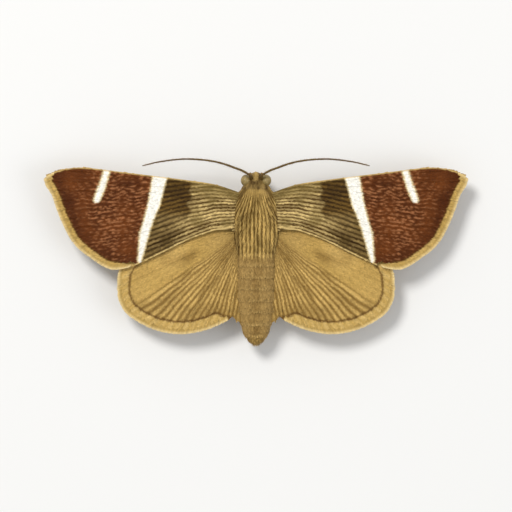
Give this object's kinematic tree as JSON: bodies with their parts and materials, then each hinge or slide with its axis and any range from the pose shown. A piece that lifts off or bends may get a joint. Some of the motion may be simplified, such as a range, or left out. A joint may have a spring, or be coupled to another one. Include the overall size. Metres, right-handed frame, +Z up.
{
  "type": "spread-winged moth",
  "caption": "Life-size moth standing with its wings spread flat: brown forewings with white cross bands, golden fringes, tan scaled body, feelers, palps and jointed legs.",
  "frame": {"origin": "on the floor under the centre of the moth's box, midway between its wing tips and midway between the feelers and the tail", "axes": "+Z up, -Y towards the head, +X towards the moth's own left wing tip"},
  "size_m": [0.032, 0.0144, 0.0039],
  "materials": {
    "body_scales": "soft hair-like scales, tan to golden, slightly glossy along the hairs",
    "forewing_scales": "matt overlapping scales, tan at the base and red-brown outside, with white bands and a golden fringe",
    "hindwing_scales": "matt overlapping scales, tan with a dark line and a golden border and fringe",
    "leg_scales": "close flat scales with darker rings on the feet",
    "antenna": "thin segmented thread with short bristles, satin",
    "eye": "glossy facets, pale brown",
    "tongue": "smooth brown coil, satin"
  },
  "bodies": {
    "root": {"head": "body_scales", "thorax": "body_scales", "abdomen": "body_scales", "eye_left": "eye", "eye_right": "eye", "antenna_left": "antenna", "antenna_right": "antenna", "palp_left": "body_scales", "palp_right": "body_scales", "proboscis": "tongue", "forewing_left": "forewing_scales", "forewing_right": "forewing_scales", "hindwing_left": "hindwing_scales", "hindwing_right": "hindwing_scales", "leg_front_left_femur": "leg_scales", "leg_front_left_tibia": "leg_scales", "leg_front_left_tarsus": "leg_scales", "leg_front_right_femur": "leg_scales", "leg_front_right_tibia": "leg_scales", "leg_front_right_tarsus": "leg_scales", "leg_middle_left_femur": "leg_scales", "leg_middle_left_tibia": "leg_scales", "leg_middle_left_tarsus": "leg_scales", "leg_middle_right_femur": "leg_scales", "leg_middle_right_tibia": "leg_scales", "leg_middle_right_tarsus": "leg_scales", "leg_hind_left_femur": "leg_scales", "leg_hind_left_tibia": "leg_scales", "leg_hind_left_tarsus": "leg_scales", "leg_hind_right_femur": "leg_scales", "leg_hind_right_tibia": "leg_scales", "leg_hind_right_tarsus": "leg_scales"}
  },
  "joints": []
}
